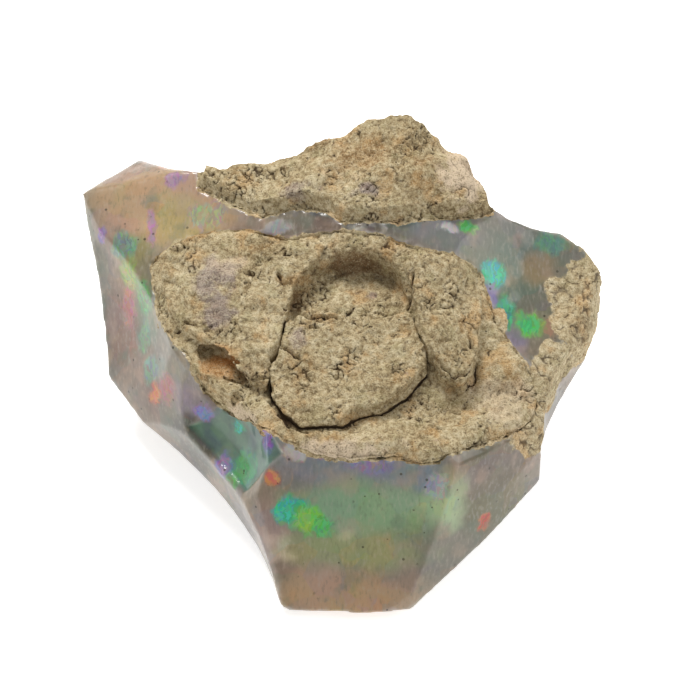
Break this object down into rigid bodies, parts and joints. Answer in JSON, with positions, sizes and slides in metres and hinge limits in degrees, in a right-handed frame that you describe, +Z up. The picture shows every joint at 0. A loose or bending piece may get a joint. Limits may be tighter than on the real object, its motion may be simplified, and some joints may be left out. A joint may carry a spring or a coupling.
{
  "type": "rough opal specimen",
  "caption": "Broken block of translucent opal with hollow fracture faces, and sandy host rock in a basin on its upper face and along its back ridge.",
  "frame": {"origin": "middle of the flat that the stone rests on", "axes": "+Z up, -Y the front, towards which the upper face leans, +X to the right as seen from the front"},
  "size_m": [0.0444, 0.0376, 0.0253],
  "materials": {
    "opal": "glassy, translucent, with flashes of colour",
    "basin_rock": "sandy, dull and rough",
    "loose_plug": "sandy, dull and rough",
    "ridge_rock": "sandy, dull and rough"
  },
  "bodies": {
    "root": {"opal": "opal", "basin_rock": "basin_rock", "loose_plug": "loose_plug", "ridge_rock": "ridge_rock"}
  },
  "joints": []
}
